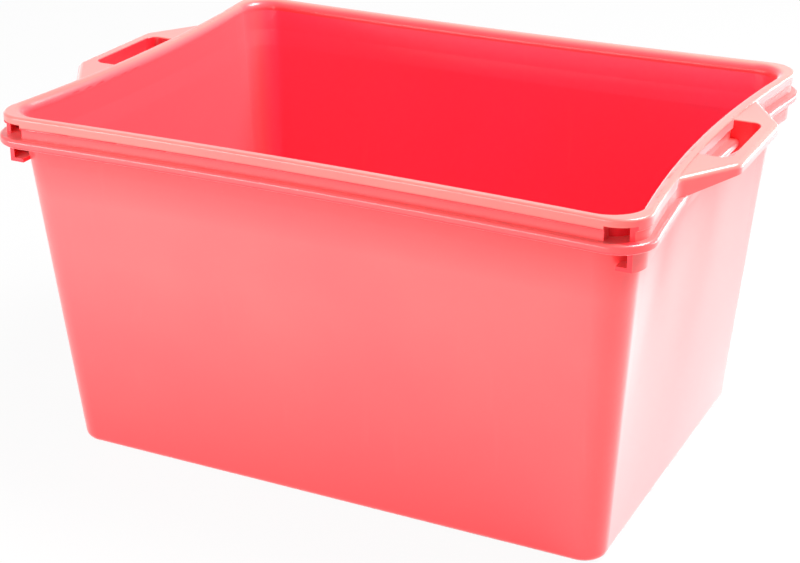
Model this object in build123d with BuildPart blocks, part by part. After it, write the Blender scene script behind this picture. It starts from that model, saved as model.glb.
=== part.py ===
"""A moulded plastic harvest tub with a stepped rim and a loop handle at each short end.

Millimetres, +Z up. X runs along the length, from the left handle to the right one, and the front is at -Y.
The origin is the middle of the base, on the face that the tub rests on. The sides of the rim are drawn in
a little towards their middles, and the walls follow them.
"""

import os
from math import radians, sin

from build123d import *

os.makedirs("parts", exist_ok=True)

# Driving dimensions of the tub as a whole
tub_height = 300.0  # from the resting face to the top of the rim
rim_length = 548.0  # over the lip, between its corners drawn out sharp, without the handles
rim_width = 413.0  # the same across
rim_corner_radius = 24.5  # of the lip, seen from above
end_bow = 15.5  # how far the short sides of the rim are drawn in at their middle
side_bow = 8.0  # the same for the long sides
base_length = 476.0
base_width = 333.0
base_corner_radius = 20.0

# Driving dimensions of the shell
wall_thickness = 3.0
floor_thickness = 3.5
collar_height = 42.0  # the band at the top of the walls
ledge_width = 0.8  # the step from the walls out to the collar
collar_taper = 15.0  # height over which the walls make that step
mouth_corner_radius = 24.0  # of the inside, seen from above
base_edge_radius = 7.0  # outside, between the walls and the base
floor_edge_radius = 4.0  # inside, between the walls and the floor

# Driving dimensions of the rim
lip_reach = 11.5  # from the inside of the tub to the outside of the lip
plate_thickness = 9.0  # the lip over the top of the walls
lip_height = 10.0
lip_edge_radius = 2.2  # along the outside of the lip
lip_foot_radius = 1.8
mouth_edge_radius = 7.2  # along the inside of the lip
least_flat = 0.3  # left of a face beside a rounding
groove_depth = 2.0  # how far the band under the lip is set back
groove_height = 7.5
corner_window_length = 31.0  # the rim is hollow, and open on a long side, this far from its sharp corner
corner_window_width = 11.0  # it is open this far on a short side
corner_window_rise = 4.0  # and this far up into the lip
flange_reach = 5.0  # how far the lower flange stands out past the lip
flange_height = 7.5
flange_edge_radius = 2.5
shelf_thickness = 3.0
skirt_thickness = 3.0
end_skirt_drop = 41.0  # from the top of the rim to the lower edge of the skirts under its short sides
end_skirt_inset = 3.2  # their outside, behind the outside of the lip
end_skirt_wrap = 38.0  # degrees, how far they run round the corners

# Driving dimensions of the handles
handle_drop = 2.0  # the handles lie this far below the top of the rim
handle_reach = 35.5  # past the lip, at the middle of the short side
handle_root_length = 204.0  # along the rim, from root to root
handle_plate = 3.0  # the level part of a handle
handle_taper = 7.0  # how much shallower a handle is at its bar than at its roots
grip_length = 104.0  # the straight bar
grip_width = 11.0
hole_length = 89.0
hole_corner_radius = 9.0
hole_edge_radius = 1.2
handle_edge_radius = 4.5
handle_corner_radius = 14.0
handle_root_radius = 18.0
root_margin = 24.0  # rim carried by each handle past its roots

# Driving dimensions of the webs
web_thickness = 2.5
web_count = 8  # along each long side
web_end_margin = 20.0  # from the last web to the start of the corner post
web_lift = 1.0  # the webs stop short of the lower edge of the rim
gusset_drop = 31.0  # from the top of the rim to the foot of the gussets under the handles

# Heights
plate_bottom = tub_height - plate_thickness
lip_bottom = tub_height - lip_height
flange_top = lip_bottom - groove_height
shelf_bottom = flange_top - shelf_thickness
rim_bottom = flange_top - flange_height
ledge_height = tub_height - collar_height
handle_top = tub_height - handle_drop
handle_height = handle_top - flange_top
end_skirt_bottom = tub_height - end_skirt_drop
gusset_bottom = tub_height - gusset_drop

# Plan sizes of the shell, at the top of its walls and round its floor
mouth_length = rim_length - 2 * lip_reach
mouth_width = rim_width - 2 * lip_reach
collar_length = mouth_length + 2 * wall_thickness
collar_width = mouth_width + 2 * wall_thickness
collar_radius = mouth_corner_radius + wall_thickness
floor_inset = wall_thickness + floor_edge_radius

# Lines where the members meet
post_x = base_length / 2 - base_corner_radius
post_y = base_width / 2 - base_corner_radius
handle_end = handle_root_length / 2 + root_margin
end_skirt_radius = rim_corner_radius - end_skirt_inset
end_skirt_end = rim_width / 2 - rim_corner_radius + end_skirt_radius * sin(radians(end_skirt_wrap))

# Lines across the rim along X, at the middle of a short side
lip_x = rim_length / 2 - end_bow
end_skirt_x = lip_x - end_skirt_inset - skirt_thickness / 2
band_x = lip_x - groove_depth
grip_x = lip_x + handle_reach
hole_x = grip_x - grip_width
hole_start_x = band_x - hole_corner_radius
root_x = lip_x + end_bow * (handle_root_length / rim_width) ** 2  # the outside of the lip at the roots
taper_x = root_x + flange_reach  # the underside of a handle starts to rise here


def write_piece(piece, name):
    """Labels a finished piece and writes it to its own file."""
    piece.part.label = name
    export_step(piece.part, f"parts/{name}.step")


def mirrored(piece, plane, name):
    """Writes the mirror image of a piece under its own name."""
    with BuildPart() as twin:
        mirror(piece.part, about=plane)
    write_piece(twin, name)


def plan_side(start, end, bow):
    """One side of a plan, from corner to corner, drawn in towards the middle of the tub."""
    if bow == 0:
        return Line(start, end)
    middle = (Vector(*start) + Vector(*end)) / 2
    return ThreePointArc(start, middle - middle.normalized() * bow, end)


def plan(height, length, width, radius, bow_share):
    """A rounded rectangle about the middle of the tub, its sides drawn in by a share of the full bow."""
    x = length / 2
    y = width / 2
    with BuildSketch(Plane.XY.offset(height)) as outline:
        with BuildLine():
            plan_side((-x, -y), (x, -y), side_bow * bow_share)
            plan_side((x, -y), (x, y), end_bow * bow_share)
            plan_side((x, y), (-x, y), side_bow * bow_share)
            plan_side((-x, y), (-x, -y), end_bow * bow_share)
        make_face()
        fillet(outline.vertices(), radius)
    return outline.sketch


def rim_plan(height, outset):
    """The plan of the rim, a distance outside its lip."""
    return plan(height, rim_length + 2 * outset, rim_width + 2 * outset, rim_corner_radius + outset, 1)


def shell_plan(height, inset, step):
    """The plan of the walls at a height, an inset inside their outer face and a step out from their line."""
    share = height / plate_bottom
    wall_length = base_length + (collar_length - 2 * ledge_width - base_length) * share
    wall_width = base_width + (collar_width - 2 * ledge_width - base_width) * share
    radius = base_corner_radius + (collar_radius - base_corner_radius) * share
    outset = step - inset
    return plan(height, wall_length + 2 * outset, wall_width + 2 * outset, radius - inset, share)


# The outside of the shell: walls, a taper and the collar
with BuildPart() as outside:
    loft(
        [
            shell_plan(0, 0, 0),
            shell_plan(ledge_height, 0, 0),
            shell_plan(ledge_height + collar_taper, 0, ledge_width),
            shell_plan(plate_bottom, 0, ledge_width),
        ],
        ruled=True,
    )
    fillet(outside.edges().group_by(Axis.Z)[0], base_edge_radius)

# The inside of the shell, from the floor up to the top of the walls
with BuildPart() as inside:
    loft(
        [
            shell_plan(floor_thickness, wall_thickness, 0),
            shell_plan(ledge_height, wall_thickness, 0),
            shell_plan(ledge_height + collar_taper, wall_thickness, ledge_width),
            shell_plan(plate_bottom, wall_thickness, ledge_width),
        ],
        ruled=True,
    )
    fillet(inside.edges().group_by(Axis.Z)[0], floor_edge_radius)

# The flat of the floor, inside the rounding at the foot of the walls
with BuildPart() as floor_panel:
    extrude(
        plan(
            0,
            base_length - 2 * floor_inset,
            base_width - 2 * floor_inset,
            base_corner_radius - floor_inset,
            0,
        ),
        amount=floor_thickness,
    )
write_piece(floor_panel, "floor_panel")

# Everything of the shell that stands around the floor
with BuildPart() as walls:
    add(outside.part)
    add(inside.part, mode=Mode.SUBTRACT)
    add(floor_panel.part, mode=Mode.SUBTRACT)

with BuildPart() as front_wall:
    add(walls.part)
    with Locations((0, -rim_width / 2, tub_height / 2)):
        Box(2 * post_x, 2 * (rim_width / 2 - post_y), 2 * tub_height, mode=Mode.INTERSECT)
write_piece(front_wall, "front_wall")
mirrored(front_wall, Plane.XZ, "back_wall")

with BuildPart() as right_end_wall:
    add(walls.part)
    with Locations((rim_length / 2, 0, tub_height / 2)):
        Box(2 * (rim_length / 2 - post_x), 2 * post_y, 2 * tub_height, mode=Mode.INTERSECT)
write_piece(right_end_wall, "right_end_wall")
mirrored(right_end_wall, Plane.YZ, "left_end_wall")

with BuildPart() as front_right_corner:
    add(walls.part)
    with Locations((rim_length / 2, -rim_width / 2, tub_height / 2)):
        Box(
            2 * (rim_length / 2 - post_x),
            2 * (rim_width / 2 - post_y),
            2 * tub_height,
            mode=Mode.INTERSECT,
        )
write_piece(front_right_corner, "front_right_corner")
mirrored(front_right_corner, Plane.YZ, "front_left_corner")
with BuildPart() as back_right_corner:
    mirror(front_right_corner.part, about=Plane.XZ)
write_piece(back_right_corner, "back_right_corner")
mirrored(back_right_corner, Plane.YZ, "back_left_corner")

# The lip, a flat bead along the top of the rim
with BuildPart() as lip:
    extrude(rim_plan(lip_bottom, 0), amount=lip_height)
    fillet(lip.edges().group_by(Axis.Z)[-1], lip_edge_radius)
    fillet(lip.edges().group_by(Axis.Z)[0], lip_foot_radius)

# The lower flange, a rounded bead all the way round
with BuildPart() as flange:
    extrude(rim_plan(rim_bottom, flange_reach), amount=flange_height)
    fillet(flange.edges().group_by(Axis.Z)[0], flange_edge_radius)
    fillet(flange.edges().group_by(Axis.Z)[-1], flange_edge_radius)

# The set-back band between them
with BuildPart() as band:
    extrude(rim_plan(flange_top, -groove_depth), amount=groove_height)

# The hollow corners of the rim, between the lip and the flange, each with a window through the band
corner_height = groove_height + corner_window_rise
with BuildPart() as corner_windows:
    with Locations((0, 0, flange_top + corner_height / 2)):
        with GridLocations(rim_length, rim_width, 2, 2):
            Box(2 * corner_window_length, 2 * corner_window_length, corner_height)
    extrude(
        rim_plan(flange_top, -groove_depth - skirt_thickness),
        amount=corner_height,
        mode=Mode.INTERSECT,
    )
    with Locations((0, 0, flange_top + corner_height / 2)):
        with GridLocations(rim_length, rim_width, 2, 2):
            Box(2 * corner_window_length, 2 * corner_window_width, corner_height)
    add(outside.part, mode=Mode.SUBTRACT)
    extrude(shell_plan(plate_bottom, 0, ledge_width), amount=plate_thickness, mode=Mode.SUBTRACT)

# The space under the shelf of the rim, between the walls and the skirt of the flange
with BuildPart() as channel:
    extrude(rim_plan(rim_bottom, flange_reach - skirt_thickness), amount=shelf_bottom - rim_bottom)
    add(outside.part, mode=Mode.SUBTRACT)

# The rim as a closed ring round the top of the walls, rounded well over towards the inside
narrowest_lip = lip_reach * (1 - 4 * end_bow / rim_width)  # beside the corners, where the short sides slope most
mouth_rounding = min(mouth_edge_radius, plate_thickness - least_flat, narrowest_lip - lip_edge_radius - least_flat)
with BuildPart() as ring:
    add(lip.part)
    add(band.part)
    add(flange.part)
    add(outside.part, mode=Mode.SUBTRACT)
    add(channel.part, mode=Mode.SUBTRACT)
    add(corner_windows.part, mode=Mode.SUBTRACT)
    extrude(
        plan(plate_bottom, mouth_length, mouth_width, mouth_corner_radius, 1),
        amount=plate_thickness,
        mode=Mode.SUBTRACT,
    )
    ring_top = ring.faces().sort_by(Axis.Z)[-1]
    fillet(ring_top.inner_wires().edges(), mouth_rounding)

with BuildPart() as front_rim:
    add(ring.part)
    with Locations((0, -rim_width, tub_height)):
        Box(2 * rim_length, 2 * (rim_width - handle_end), 2 * tub_height, mode=Mode.INTERSECT)
write_piece(front_rim, "front_rim")
mirrored(front_rim, Plane.XZ, "back_rim")

# The stretch of rim that runs through a handle
with BuildPart() as rim_stretch:
    add(ring.part)
    with Locations((rim_length, 0, tub_height)):
        Box(2 * (rim_length - post_x), 2 * handle_end, 2 * tub_height, mode=Mode.INTERSECT)

# The plan of a handle's arms and bar, from the band of the rim outwards
with BuildSketch(Plane.XY.offset(flange_top)) as arch:
    with BuildLine():
        Polyline(
            (band_x, -handle_root_length / 2),
            (root_x, -handle_root_length / 2),
            (grip_x, -grip_length / 2),
            (grip_x, grip_length / 2),
            (root_x, handle_root_length / 2),
            (band_x, handle_root_length / 2),
            close=True,
        )
    make_face()
    fillet(arch.vertices().group_by(Axis.X)[-1], handle_corner_radius)

# The same with the stretch of rim that its roots are blended into
with BuildSketch(Plane.XY.offset(flange_top)) as loop:
    add(arch.sketch)
    with Locations(((band_x + root_x) / 2, 0)):
        Rectangle(root_x - band_x, 2 * handle_end)
    roots = loop.vertices().group_by(Axis.X)[1].sort_by(lambda vertex: abs(vertex.Y))[:2]
    fillet(roots, handle_root_radius)


def underside(x):
    """The height of a handle's underside, which rises from the flange to the bar."""
    return flange_top + handle_taper * (x - taper_x) / (grip_x - taper_x)


def hole_plan(outset):
    """The plan of the finger hole, from inside the rim to the bar, made larger by an outset."""
    with BuildSketch(Plane.XY.offset(flange_top)) as outline:
        with Locations(((hole_start_x + hole_x) / 2, 0)):
            RectangleRounded(
                hole_x - hole_start_x + 2 * outset,
                hole_length + 2 * outset,
                hole_corner_radius + outset,
            )
    return outline.sketch


# The hollow under a handle, round the skirt of the finger hole
with BuildSketch(Plane.XY.offset(flange_top)) as hollow:
    offset(arch.sketch, amount=-skirt_thickness, kind=Kind.INTERSECTION)
    add(hole_plan(skirt_thickness), mode=Mode.SUBTRACT)

with BuildPart() as right_handle:
    extrude(loop.sketch, amount=handle_height)
    loop_top = right_handle.faces().sort_by(Axis.Z)[-1]
    fillet(loop_top.edges().filter_by(lambda edge: edge.center().X >= root_x), handle_edge_radius)
    extrude(hollow.sketch, amount=handle_height - handle_plate, mode=Mode.SUBTRACT)
    extrude(hole_plan(0), amount=handle_height, mode=Mode.SUBTRACT)
    loop_top = right_handle.faces().sort_by(Axis.Z)[-1]
    fillet(
        loop_top.edges().filter_by(
            lambda edge: band_x < edge.center().X <= hole_x + hole_edge_radius
            and abs(edge.center().Y) <= hole_length / 2 + hole_edge_radius
        ),
        hole_edge_radius,
    )
    past_x = 2 * grip_x - taper_x
    with BuildSketch(Plane.XZ):
        with BuildLine():
            Polyline((taper_x, flange_top), (past_x, flange_top), (past_x, underside(past_x)), close=True)
        make_face()
    extrude(amount=handle_root_length, both=True, mode=Mode.SUBTRACT)
    add(rim_stretch.part)
    add(outside.part, mode=Mode.SUBTRACT)
write_piece(right_handle, "right_handle")
mirrored(right_handle, Plane.YZ, "left_handle")

# The skirt that hangs from the shelf along a short side, runs round into the corners and turns in to the wall
with BuildPart() as right_end_skirt:
    extrude(rim_plan(end_skirt_bottom, -end_skirt_inset), amount=shelf_bottom - end_skirt_bottom)
    extrude(
        rim_plan(end_skirt_bottom + skirt_thickness, -end_skirt_inset - skirt_thickness),
        amount=tub_height,
        mode=Mode.SUBTRACT,
    )
    add(outside.part, mode=Mode.SUBTRACT)
    with Locations((rim_length, 0, tub_height)):
        Box(2 * (rim_length - post_x), 2 * end_skirt_end, 2 * tub_height, mode=Mode.INTERSECT)
    with GridLocations(1, rim_width, 1, 2):
        Box(
            rim_length - 2 * rim_corner_radius,
            2 * rim_corner_radius,
            4 * tub_height,
            mode=Mode.SUBTRACT,
        )
write_piece(right_end_skirt, "right_end_skirt")
mirrored(right_end_skirt, Plane.YZ, "left_end_skirt")

# Gussets under the arms of a handle, in line with the ends of the finger hole
gusset_y = (hole_length + skirt_thickness) / 2
with BuildPart() as right_handle_gussets:
    with BuildSketch(Plane.XZ.offset(gusset_y), Plane.XZ.offset(-gusset_y)):
        with BuildLine():
            Polyline(
                (end_skirt_x, flange_top),
                (taper_x, flange_top),
                (hole_x, underside(hole_x)),
                (lip_x, gusset_bottom),
                (end_skirt_x, gusset_bottom),
                close=True,
            )
        make_face()
    extrude(amount=skirt_thickness / 2, both=True)
    add(ring.part, mode=Mode.SUBTRACT)
    add(right_end_skirt.part, mode=Mode.SUBTRACT)
write_piece(right_handle_gussets, "right_handle_gussets")
mirrored(right_handle_gussets, Plane.YZ, "left_handle_gussets")

# Webs across the channel of the rim, along the long sides
web_pitch = 2 * (post_x - web_end_margin) / (web_count - 1)
with BuildPart() as front_rim_webs:
    with Locations((0, -rim_width / 2, rim_bottom + web_lift)):
        with GridLocations(web_pitch, 1, web_count, 1):
            Box(
                web_thickness,
                rim_width / 2,
                tub_height,
                align=(Align.CENTER, Align.CENTER, Align.MIN),
            )
    add(channel.part, mode=Mode.INTERSECT)
write_piece(front_rim_webs, "front_rim_webs")
mirrored(front_rim_webs, Plane.XZ, "back_rim_webs")
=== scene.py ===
"""The look of a moulded plastic harvest tub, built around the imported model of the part."""

import bpy
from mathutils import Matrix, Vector


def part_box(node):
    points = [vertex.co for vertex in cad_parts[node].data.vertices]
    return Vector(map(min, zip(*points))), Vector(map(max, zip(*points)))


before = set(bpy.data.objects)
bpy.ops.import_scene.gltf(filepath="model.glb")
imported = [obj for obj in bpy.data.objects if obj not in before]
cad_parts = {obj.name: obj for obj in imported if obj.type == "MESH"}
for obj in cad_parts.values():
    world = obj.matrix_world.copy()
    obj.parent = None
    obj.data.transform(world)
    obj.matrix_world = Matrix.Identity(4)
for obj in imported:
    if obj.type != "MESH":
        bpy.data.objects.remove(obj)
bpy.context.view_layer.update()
scene = bpy.context.scene

# Camera at the photograph's viewing angle: place in metres, lens and sensor in millimetres
CAMERA_PLACE = (0.6296, -1.3074, 0.7555)
CAMERA_AIM = (-0.4037, 0.8242, -0.3973)
CAMERA_LENS = 82.9
CAMERA_SENSOR = 36.0

# Colours, linear
CORAL_INSIDE_DEEP_SHADE = (0.97, 0.072, 0.160)  # inside of the long walls: painted shade, deeper and bluer than on the ends
CORAL_INSIDE_SHADE = (0.97, 0.080, 0.098)  # inside of the short ends, the rim and the floor: painted shade
CORAL_OUTSIDE_LIT = (0.97, 0.125, 0.125)  # outside of the walls and the skirts: painted light
CORAL_FOOT_SHADE = (0.97, 0.070, 0.077)  # outside, at the foot: painted shade, darker towards the bottom
CORAL_RIM = (0.97, 0.100, 0.102)  # outer faces of the rim and the handles
CORAL_TOP_LIT = (0.97, 0.185, 0.158)  # lip of the rim, and top of the handles: painted light
CORAL_FLANGE_SHADE = (0.96, 0.080, 0.085)  # lower flange of the rim: painted shade
CORAL_SHADED = (0.96, 0.046, 0.052)  # close under the flange and close under the lip
CORAL_DARKEST_SHADE = (0.95, 0.016, 0.030)  # deepest painted shade: behind the rim, under it and in its hollows
CORAL_DEEP = (0.96, 0.062, 0.085)  # flow clouds
CORAL_PALE = (0.98, 0.200, 0.210)  # specks and scuffs
WHITE = (1.0, 1.0, 1.0)
STUDIO_FLOOR_GREY = (0.60, 0.60, 0.60)

# Steps of the rim, in metres: the lower and upper edge of the flange, and the lower edge of the lip
FLANGE_HEIGHT = 0.0075
GROOVE_HEIGHT = 0.0075
FLANGE_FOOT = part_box("front_rim")[0][2]
FLANGE_TOP = FLANGE_FOOT + FLANGE_HEIGHT
LIP_FOOT = FLANGE_TOP + GROOVE_HEIGHT

# Heights, in metres, from which and to which one pigment goes over into the next; most are painted light
# or painted shade
FOOT_TO_LIT = (0.0, 0.18)
LIT_TO_SHADED = (FLANGE_FOOT - 0.045, FLANGE_FOOT)
SHADED_TO_DARKEST = (FLANGE_FOOT, FLANGE_FOOT + 0.006)
GROOVE_TO_SHADED = (LIP_FOOT - 0.0045, LIP_FOOT - 0.0010)
SHADED_TO_LIP = (LIP_FOOT, LIP_FOOT + 0.0030)
GROOVE_TO_FLANGE = (FLANGE_TOP + 0.002, FLANGE_TOP - 0.001)

# Ways for a face to look, as weights of the three axes
ENDWAYS = (1, 0, 0)
SIDEWAYS = (0, 1, 0)
UPWARDS = (0, 0, 1)
ALL_ROUND = (1, 1, 0)
ROUND_THE_RIM = (1.0, 1.4, 0)  # the long sides count as far out as the ends
ROUND_THE_HOLE = (1.0, 6.5, 0)  # the short sides of a finger hole count as far out as its bar

# Outward reach of a face, in metres, from which and to which one pigment goes over into the next
WALL_OUTSIDE = (-0.06, 0.0)
WALL_END_INSIDE = (-0.04, -0.20)
SKIRT_OUTSIDE = (0.08, 0.16)
RIM_LONG_SIDE = (0.12, 0.18)
RIM_TOP = (0.02, 0.14)
RIM_UNDERSIDE = (-0.02, -0.14)
RIM_INSIDE = (-0.10, -0.22)
HOLE_INSIDE = (-0.255, -0.275)
FLOOR_TOP = (0.0, 0.002)

# The hollow corners of the rim, behind their windows: middle and half size of the one at the back right,
# and the share of the half size at which their painted shade starts
HOLLOW_MIDDLE = (0.2545, 0.1995, 0.2878)
HOLLOW_HALF = (0.0120, 0.0042, 0.0062)
HOLLOW_EDGE = (1.02, 0.98)

# Marks in the plastic: where a pattern starts and is full, and the share of its colour there
CLOUD_RANGE = (0.35, 0.70)
CLOUD_SHARE = 0.25
SPECK_RANGE = (0.60, 0.78)
SPECK_SHARE = 0.12
SCUFF_RANGE = (0.62, 0.80)

# Scuffs are drawn out along the axis with the lowest number
UPRIGHT_SCUFFS = (60.0, 60.0, 3.0)
LEVEL_SCUFFS = (14.0, 14.0, 120.0)
FLOOR_SCUFFS = (25.0, 45.0, 20.0)

# The gloss of the plastic
SATIN_ROUGHNESS = (0.36, 0.52)
SATIN_SETTINGS = {
    "IOR": 1.5,
    "Specular IOR Level": 0.1,
    "Sheen Weight": 0.7,
    "Sheen Roughness": 0.3,
    "Coat Weight": 1.0,
    "Coat Roughness": 0.28,
}

# Light levels of the surround: at the horizon, overhead and where it is seen, and the upward part of a
# direction that counts as overhead
HORIZON_LEVEL = 0.40
ZENITH_LEVEL = 0.30
SEEN_LEVEL = 1.0
ZENITH_RISE = 0.8

# The studio floor, in metres, and how much of its own white it shows where it is seen
STUDIO_FLOOR_HALF = 6.0
STUDIO_FLOOR_DROP = 0.0005
STUDIO_FLOOR_ROUGHNESS = 0.9
STUDIO_FLOOR_WHITE_SHARE = 0.94

# The grid on which the node editor shows the nodes
NODE_COLUMNS = 8
NODE_WIDTH = 220
NODE_HEIGHT = 320


def node(tree, kind, **settings):
    """Adds a node in the next place of the editor's grid and sets its named properties."""
    row, column = divmod(len(tree.nodes), NODE_COLUMNS)
    made = tree.nodes.new(kind)
    made.location = (NODE_WIDTH * (column - NODE_COLUMNS), -NODE_HEIGHT * row)
    for name, value in settings.items():
        setattr(made, name, value)
    return made


def feed(tree, target, value):
    """Links a socket to an input, or sets the input to a fixed value."""
    if isinstance(value, bpy.types.NodeSocket):
        tree.links.new(value, target)
    else:
        target.default_value = value


def maths(tree, operation, first, second):
    """A number worked out from two others; each is a socket or a fixed number."""
    made = node(tree, "ShaderNodeMath", operation=operation)
    feed(tree, made.inputs[0], first)
    feed(tree, made.inputs[1], second)
    return made.outputs[0]


def vector_maths(tree, operation, *vectors):
    """A vector, or a dot product, worked out from others; each is a socket or a fixed vector."""
    made = node(tree, "ShaderNodeVectorMath", operation=operation)
    for number, vector in enumerate(vectors):
        feed(tree, made.inputs[number], vector)
    return made.outputs["Value" if operation == "DOT_PRODUCT" else "Vector"]


def split(tree, vector):
    """The parts of a vector, by the names X, Y and Z."""
    made = node(tree, "ShaderNodeSeparateXYZ")
    feed(tree, made.inputs["Vector"], vector)
    return made.outputs


def noise(tree, vector, scale, detail, rough=0.55):
    made = node(tree, "ShaderNodeTexNoise")
    feed(tree, made.inputs["Scale"], scale)
    feed(tree, made.inputs["Detail"], detail)
    feed(tree, made.inputs["Roughness"], rough)
    feed(tree, made.inputs["Vector"], vector)
    return made.outputs["Fac"]


def stretched(tree, vector, scale):
    """Coordinates with each axis multiplied, so that a pattern is drawn out along one of them."""
    made = node(tree, "ShaderNodeMapping")
    feed(tree, made.inputs["Scale"], scale)
    feed(tree, made.inputs["Vector"], vector)
    return made.outputs["Vector"]


def ramp(tree, value, limits, results=(0.0, 1.0)):
    """Takes a value between two limits to the same place between two results, and no further."""
    made = node(tree, "ShaderNodeMapRange")
    for name, number in zip(("From Min", "From Max", "To Min", "To Max"), (*limits, *results)):
        feed(tree, made.inputs[name], number)
    feed(tree, made.inputs["Value"], value)
    return made.outputs["Result"]


def mixed(tree, factor, first, second):
    """Mixes two colours by a factor; each is a socket or a fixed colour."""
    made = node(tree, "ShaderNodeMix", data_type="RGBA")
    feed(tree, made.inputs["Factor"], factor)
    for name, colour in (("A", first), ("B", second)):
        feed(tree, made.inputs[name], (*colour, 1) if isinstance(colour, tuple) else colour)
    return made.outputs["Result"]


def bump(tree, pattern, strength, distance, below=None):
    """A relief from a pattern, on top of another relief where one is given."""
    made = node(tree, "ShaderNodeBump")
    feed(tree, made.inputs["Strength"], strength)
    feed(tree, made.inputs["Distance"], distance)
    feed(tree, made.inputs["Height"], pattern)
    if below is not None:
        feed(tree, made.inputs["Normal"], below)
    return made.outputs["Normal"]


def facing_share(tree, place, axes, limits):
    """Shares out the faces by their outward reach: how far out they lie, as far as they look that way.

    A face that looks straight out along one axis has its distance along it, and one that looks in has
    that distance with a minus sign.
    """
    facing = node(tree, "ShaderNodeTexCoord").outputs["Normal"]
    weighted = vector_maths(tree, "MULTIPLY", place, axes)
    return ramp(tree, vector_maths(tree, "DOT_PRODUCT", weighted, facing), limits)


def hollow_share(tree, place):
    """1 in the hollow corners of the rim and 0 elsewhere."""
    quarter = vector_maths(tree, "ABSOLUTE", place)
    offset = vector_maths(tree, "SUBTRACT", quarter, HOLLOW_MIDDLE)
    reach = vector_maths(tree, "DIVIDE", offset, HOLLOW_HALF)
    apart = split(tree, vector_maths(tree, "ABSOLUTE", reach))
    wider = maths(tree, "MAXIMUM", apart["X"], apart["Y"])
    return ramp(tree, maths(tree, "MAXIMUM", wider, apart["Z"]), HOLLOW_EDGE)


def wall_pigment(tree, place):
    """Painted shade inside, deepest on the long walls; outside, painted light growing upwards to the
    painted shade under the flange, and the deepest painted shade behind the rim.
    """
    inner_end = facing_share(tree, place, ENDWAYS, WALL_END_INSIDE)
    inside_shade = mixed(tree, inner_end, CORAL_INSIDE_DEEP_SHADE, CORAL_INSIDE_SHADE)
    height = split(tree, place)["Z"]
    outside_light = mixed(tree, ramp(tree, height, FOOT_TO_LIT), CORAL_FOOT_SHADE, CORAL_OUTSIDE_LIT)
    outside_light = mixed(tree, ramp(tree, height, LIT_TO_SHADED), outside_light, CORAL_SHADED)
    outside_light = mixed(tree, ramp(tree, height, SHADED_TO_DARKEST), outside_light, CORAL_DARKEST_SHADE)
    return mixed(tree, facing_share(tree, place, ALL_ROUND, WALL_OUTSIDE), inside_shade, outside_light)


def rim_pigment(tree, place):
    """Painted light on the lip and tops, painted shade under the lip, on the flange and inside, and the
    deepest painted shade below and in the hollows.
    """
    height = split(tree, place)["Z"]
    side = mixed(tree, ramp(tree, height, GROOVE_TO_SHADED), CORAL_RIM, CORAL_SHADED)
    side = mixed(tree, ramp(tree, height, SHADED_TO_LIP), side, CORAL_TOP_LIT)
    colour = mixed(tree, facing_share(tree, place, SIDEWAYS, RIM_LONG_SIDE), CORAL_RIM, side)
    colour = mixed(tree, facing_share(tree, place, UPWARDS, RIM_TOP), colour, CORAL_TOP_LIT)
    colour = mixed(tree, ramp(tree, height, GROOVE_TO_FLANGE), colour, CORAL_FLANGE_SHADE)
    colour = mixed(tree, facing_share(tree, place, ROUND_THE_RIM, RIM_INSIDE), colour, CORAL_INSIDE_SHADE)
    colour = mixed(tree, facing_share(tree, place, UPWARDS, RIM_UNDERSIDE), colour, CORAL_DARKEST_SHADE)
    return mixed(tree, hollow_share(tree, place), colour, CORAL_DARKEST_SHADE)


def handle_pigment(tree, place):
    """The pigment of the rim, and the deepest painted shade inside the finger holes."""
    in_hole = facing_share(tree, place, ROUND_THE_HOLE, HOLE_INSIDE)
    return mixed(tree, in_hole, rim_pigment(tree, place), CORAL_DARKEST_SHADE)


def skirt_pigment(tree, place):
    """Painted light on the outer faces of the end skirts, and the deepest painted shade at their ends
    and inside.
    """
    return mixed(tree, facing_share(tree, place, ENDWAYS, SKIRT_OUTSIDE), CORAL_DARKEST_SHADE, CORAL_OUTSIDE_LIT)


def floor_pigment(tree, place):
    """Painted shade on top, as on the inside of the short ends, and the foot's painted shade elsewhere.
    """
    return mixed(tree, facing_share(tree, place, UPWARDS, FLOOR_TOP), CORAL_FOOT_SHADE, CORAL_INSIDE_SHADE)


def moulded_plastic(name, pigment, scuff_scale, scuff_share):
    """Satin plastic: a pigment with flow clouds, specks and scuffs, slight waves and a fine grain."""
    material = bpy.data.materials.new(name)
    material.use_nodes = True
    tree = material.node_tree
    shader = tree.nodes["Principled BSDF"]
    place = node(tree, "ShaderNodeTexCoord").outputs["Object"]

    clouds = noise(tree, place, scale=7.0, detail=2.0)
    specks = noise(tree, place, scale=850.0, detail=2.0)
    scuffs = noise(tree, stretched(tree, place, scuff_scale), scale=1.0, detail=4.0, rough=0.65)
    colour = pigment(tree, place)
    for pattern, limits, share, mark in (
        (clouds, CLOUD_RANGE, CLOUD_SHARE, CORAL_DEEP),
        (specks, SPECK_RANGE, SPECK_SHARE, CORAL_PALE),
        (scuffs, SCUFF_RANGE, scuff_share, CORAL_PALE),
    ):
        strength = maths(tree, "MULTIPLY", ramp(tree, pattern, limits), share)
        colour = mixed(tree, strength, colour, mark)
    feed(tree, shader.inputs["Base Color"], colour)
    feed(tree, shader.inputs["Roughness"], ramp(tree, clouds, (0.0, 1.0), SATIN_ROUGHNESS))

    waves = noise(tree, place, scale=9.0, detail=1.0)
    grain = noise(tree, place, scale=1400.0, detail=2.0)
    relief = bump(tree, waves, strength=0.03, distance=0.004)
    relief = bump(tree, grain, strength=0.10, distance=0.0004, below=relief)
    feed(tree, shader.inputs["Normal"], relief)

    for setting, value in SATIN_SETTINGS.items():
        shader.inputs[setting].default_value = value
    return material


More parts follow.
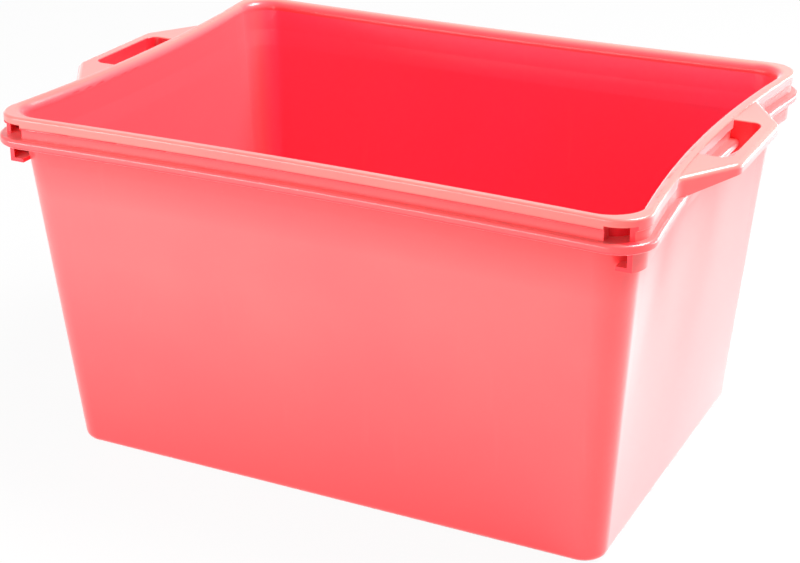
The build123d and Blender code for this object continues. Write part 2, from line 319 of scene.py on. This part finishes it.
def seen_rays(tree):
    """1 for the rays that see a thing, directly, mirrored or through glass, and 0 for its light."""
    path = node(tree, "ShaderNodeLightPath").outputs
    direct = maths(tree, "MAXIMUM", path["Is Camera Ray"], path["Is Glossy Ray"])
    return maths(tree, "MAXIMUM", direct, path["Is Transmission Ray"])


def softbox(name, place, aim, width, height, watts):
    """A rectangular lamp that looks at a point."""
    lamp = bpy.data.lights.new(name, "AREA")
    lamp.shape = "RECTANGLE"
    lamp.size = width
    lamp.size_y = height
    lamp.energy = watts
    made = bpy.data.objects.new(name, lamp)
    made.location = place
    made.rotation_euler = (Vector(aim) - Vector(place)).to_track_quat("-Z", "Y").to_euler()
    scene.collection.objects.link(made)


# The plastics, and the pieces that they go on
wall_plastic = moulded_plastic("tub_wall_plastic", wall_pigment, UPRIGHT_SCUFFS, scuff_share=0.10)
rim_plastic = moulded_plastic("tub_rim_plastic", rim_pigment, LEVEL_SCUFFS, scuff_share=0.14)
handle_plastic = moulded_plastic("tub_handle_plastic", handle_pigment, LEVEL_SCUFFS, scuff_share=0.14)
skirt_plastic = moulded_plastic("tub_skirt_plastic", skirt_pigment, LEVEL_SCUFFS, scuff_share=0.08)
floor_plastic = moulded_plastic("tub_floor_plastic", floor_pigment, FLOOR_SCUFFS, scuff_share=0.16)

for name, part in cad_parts.items():
    finish = wall_plastic
    if name == "floor_panel":
        finish = floor_plastic
    elif "skirt" in name:
        finish = skirt_plastic
    elif "rim" in name:
        finish = rim_plastic
    elif "handle" in name:
        finish = handle_plastic
    for slot in part.material_slots:
        slot.material = finish

# The surround: white where it is seen, softer where it lights
world = bpy.data.worlds.new("white_studio")
scene.world = world
world.use_nodes = True
sky = world.node_tree
rise = split(sky, node(sky, "ShaderNodeTexCoord").outputs["Generated"])["Z"]
lighting = ramp(sky, rise, (0.0, ZENITH_RISE), (HORIZON_LEVEL, ZENITH_LEVEL))
level = node(sky, "ShaderNodeMix", data_type="FLOAT")
feed(sky, level.inputs["Factor"], seen_rays(sky))
feed(sky, level.inputs["A"], lighting)
feed(sky, level.inputs["B"], SEEN_LEVEL)
surround = sky.nodes["Background"]
surround.inputs["Color"].default_value = (*WHITE, 1)
feed(sky, surround.inputs["Strength"], level.outputs["Result"])

# The floor: nearly white where it is seen, with the tub's shadow on it
floor_mesh = bpy.data.meshes.new("studio_floor")
half = STUDIO_FLOOR_HALF
floor_corners = [(-half, -half, 0), (half, -half, 0), (half, half, 0), (-half, half, 0)]
floor_mesh.from_pydata(floor_corners, [], [(0, 1, 2, 3)])
floor = bpy.data.objects.new("studio_floor", floor_mesh)
floor.location.z = -STUDIO_FLOOR_DROP
scene.collection.objects.link(floor)
floor_material = bpy.data.materials.new("studio_floor_white")
floor_material.use_nodes = True
tree = floor_material.node_tree
matt = tree.nodes["Principled BSDF"]
matt.inputs["Base Color"].default_value = (*STUDIO_FLOOR_GREY, 1)
matt.inputs["Roughness"].default_value = STUDIO_FLOOR_ROUGHNESS
glow = node(tree, "ShaderNodeEmission")
glow.inputs["Strength"].default_value = SEEN_LEVEL
blend = node(tree, "ShaderNodeMixShader")
feed(tree, blend.inputs["Fac"], maths(tree, "MULTIPLY", seen_rays(tree), STUDIO_FLOOR_WHITE_SHARE))
feed(tree, blend.inputs[1], matt.outputs["BSDF"])
feed(tree, blend.inputs[2], glow.outputs["Emission"])
feed(tree, tree.nodes["Material Output"].inputs["Surface"], blend.outputs["Shader"])
floor_mesh.materials.append(floor_material)

# The lamps, in metres and watts
softbox("front_box", (-0.45, -1.0, 0.30), aim=(-0.05, -0.2, 0.18), width=1.2, height=0.16, watts=11)
softbox("end_box", (0.95, 1.25, 0.14), aim=(0.25, 0, 0.15), width=1.2, height=0.26, watts=12)
softbox("key_box", (1.0, 0.5, 1.9), aim=(0, 0, 0.15), width=1.0, height=1.0, watts=95)

# The camera
camera = bpy.data.cameras.new("photo_camera")
camera.lens = CAMERA_LENS
camera.sensor_width = CAMERA_SENSOR
camera.sensor_fit = "HORIZONTAL"
viewer = bpy.data.objects.new("photo_camera", camera)
viewer.location = CAMERA_PLACE
viewer.rotation_euler = Vector(CAMERA_AIM).to_track_quat("-Z", "Y").to_euler()
scene.collection.objects.link(viewer)
scene.camera = viewer

scene.view_settings.view_transform = "Standard"
